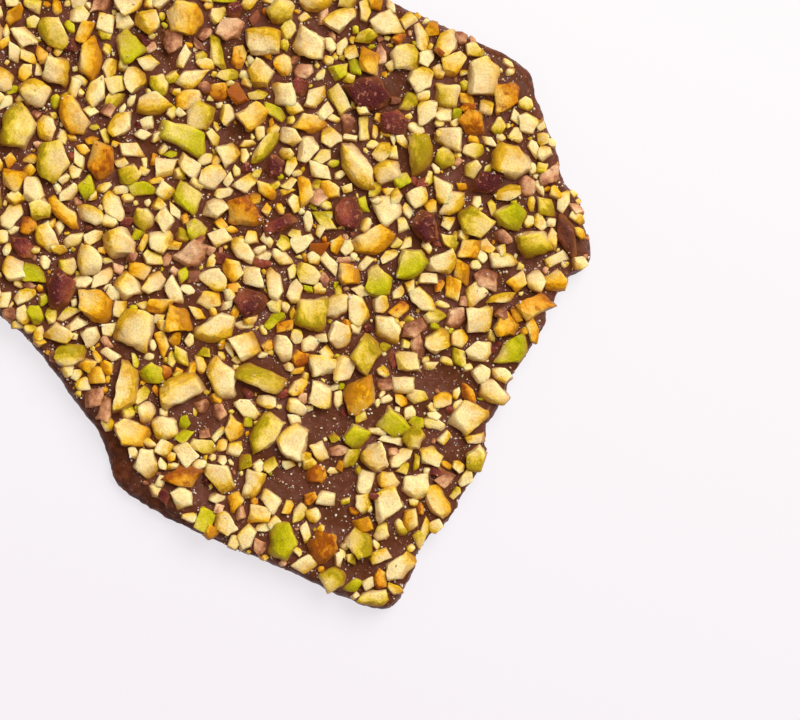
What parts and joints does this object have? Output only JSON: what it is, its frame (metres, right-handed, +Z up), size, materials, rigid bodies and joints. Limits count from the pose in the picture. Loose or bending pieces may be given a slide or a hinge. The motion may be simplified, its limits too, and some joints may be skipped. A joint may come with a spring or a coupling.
{
  "type": "chocolate bark",
  "caption": "Broken shard of chocolate bark, thickly topped with chopped pistachio pieces, lying flat on its smooth underside.",
  "frame": {"origin": "a point near the middle of the shard, on its flat underside", "axes": "+Z up through the thickness, +X to the right and +Y to the top as seen from straight above in the picture"},
  "size_m": [0.1321, 0.1423, 0.0087],
  "materials": {
    "chocolate": "satin set chocolate, with chopped pistachio pieces in cream, yellow, green and brown"
  },
  "bodies": {
    "root": {"chocolate_bark": "chocolate"}
  },
  "joints": []
}
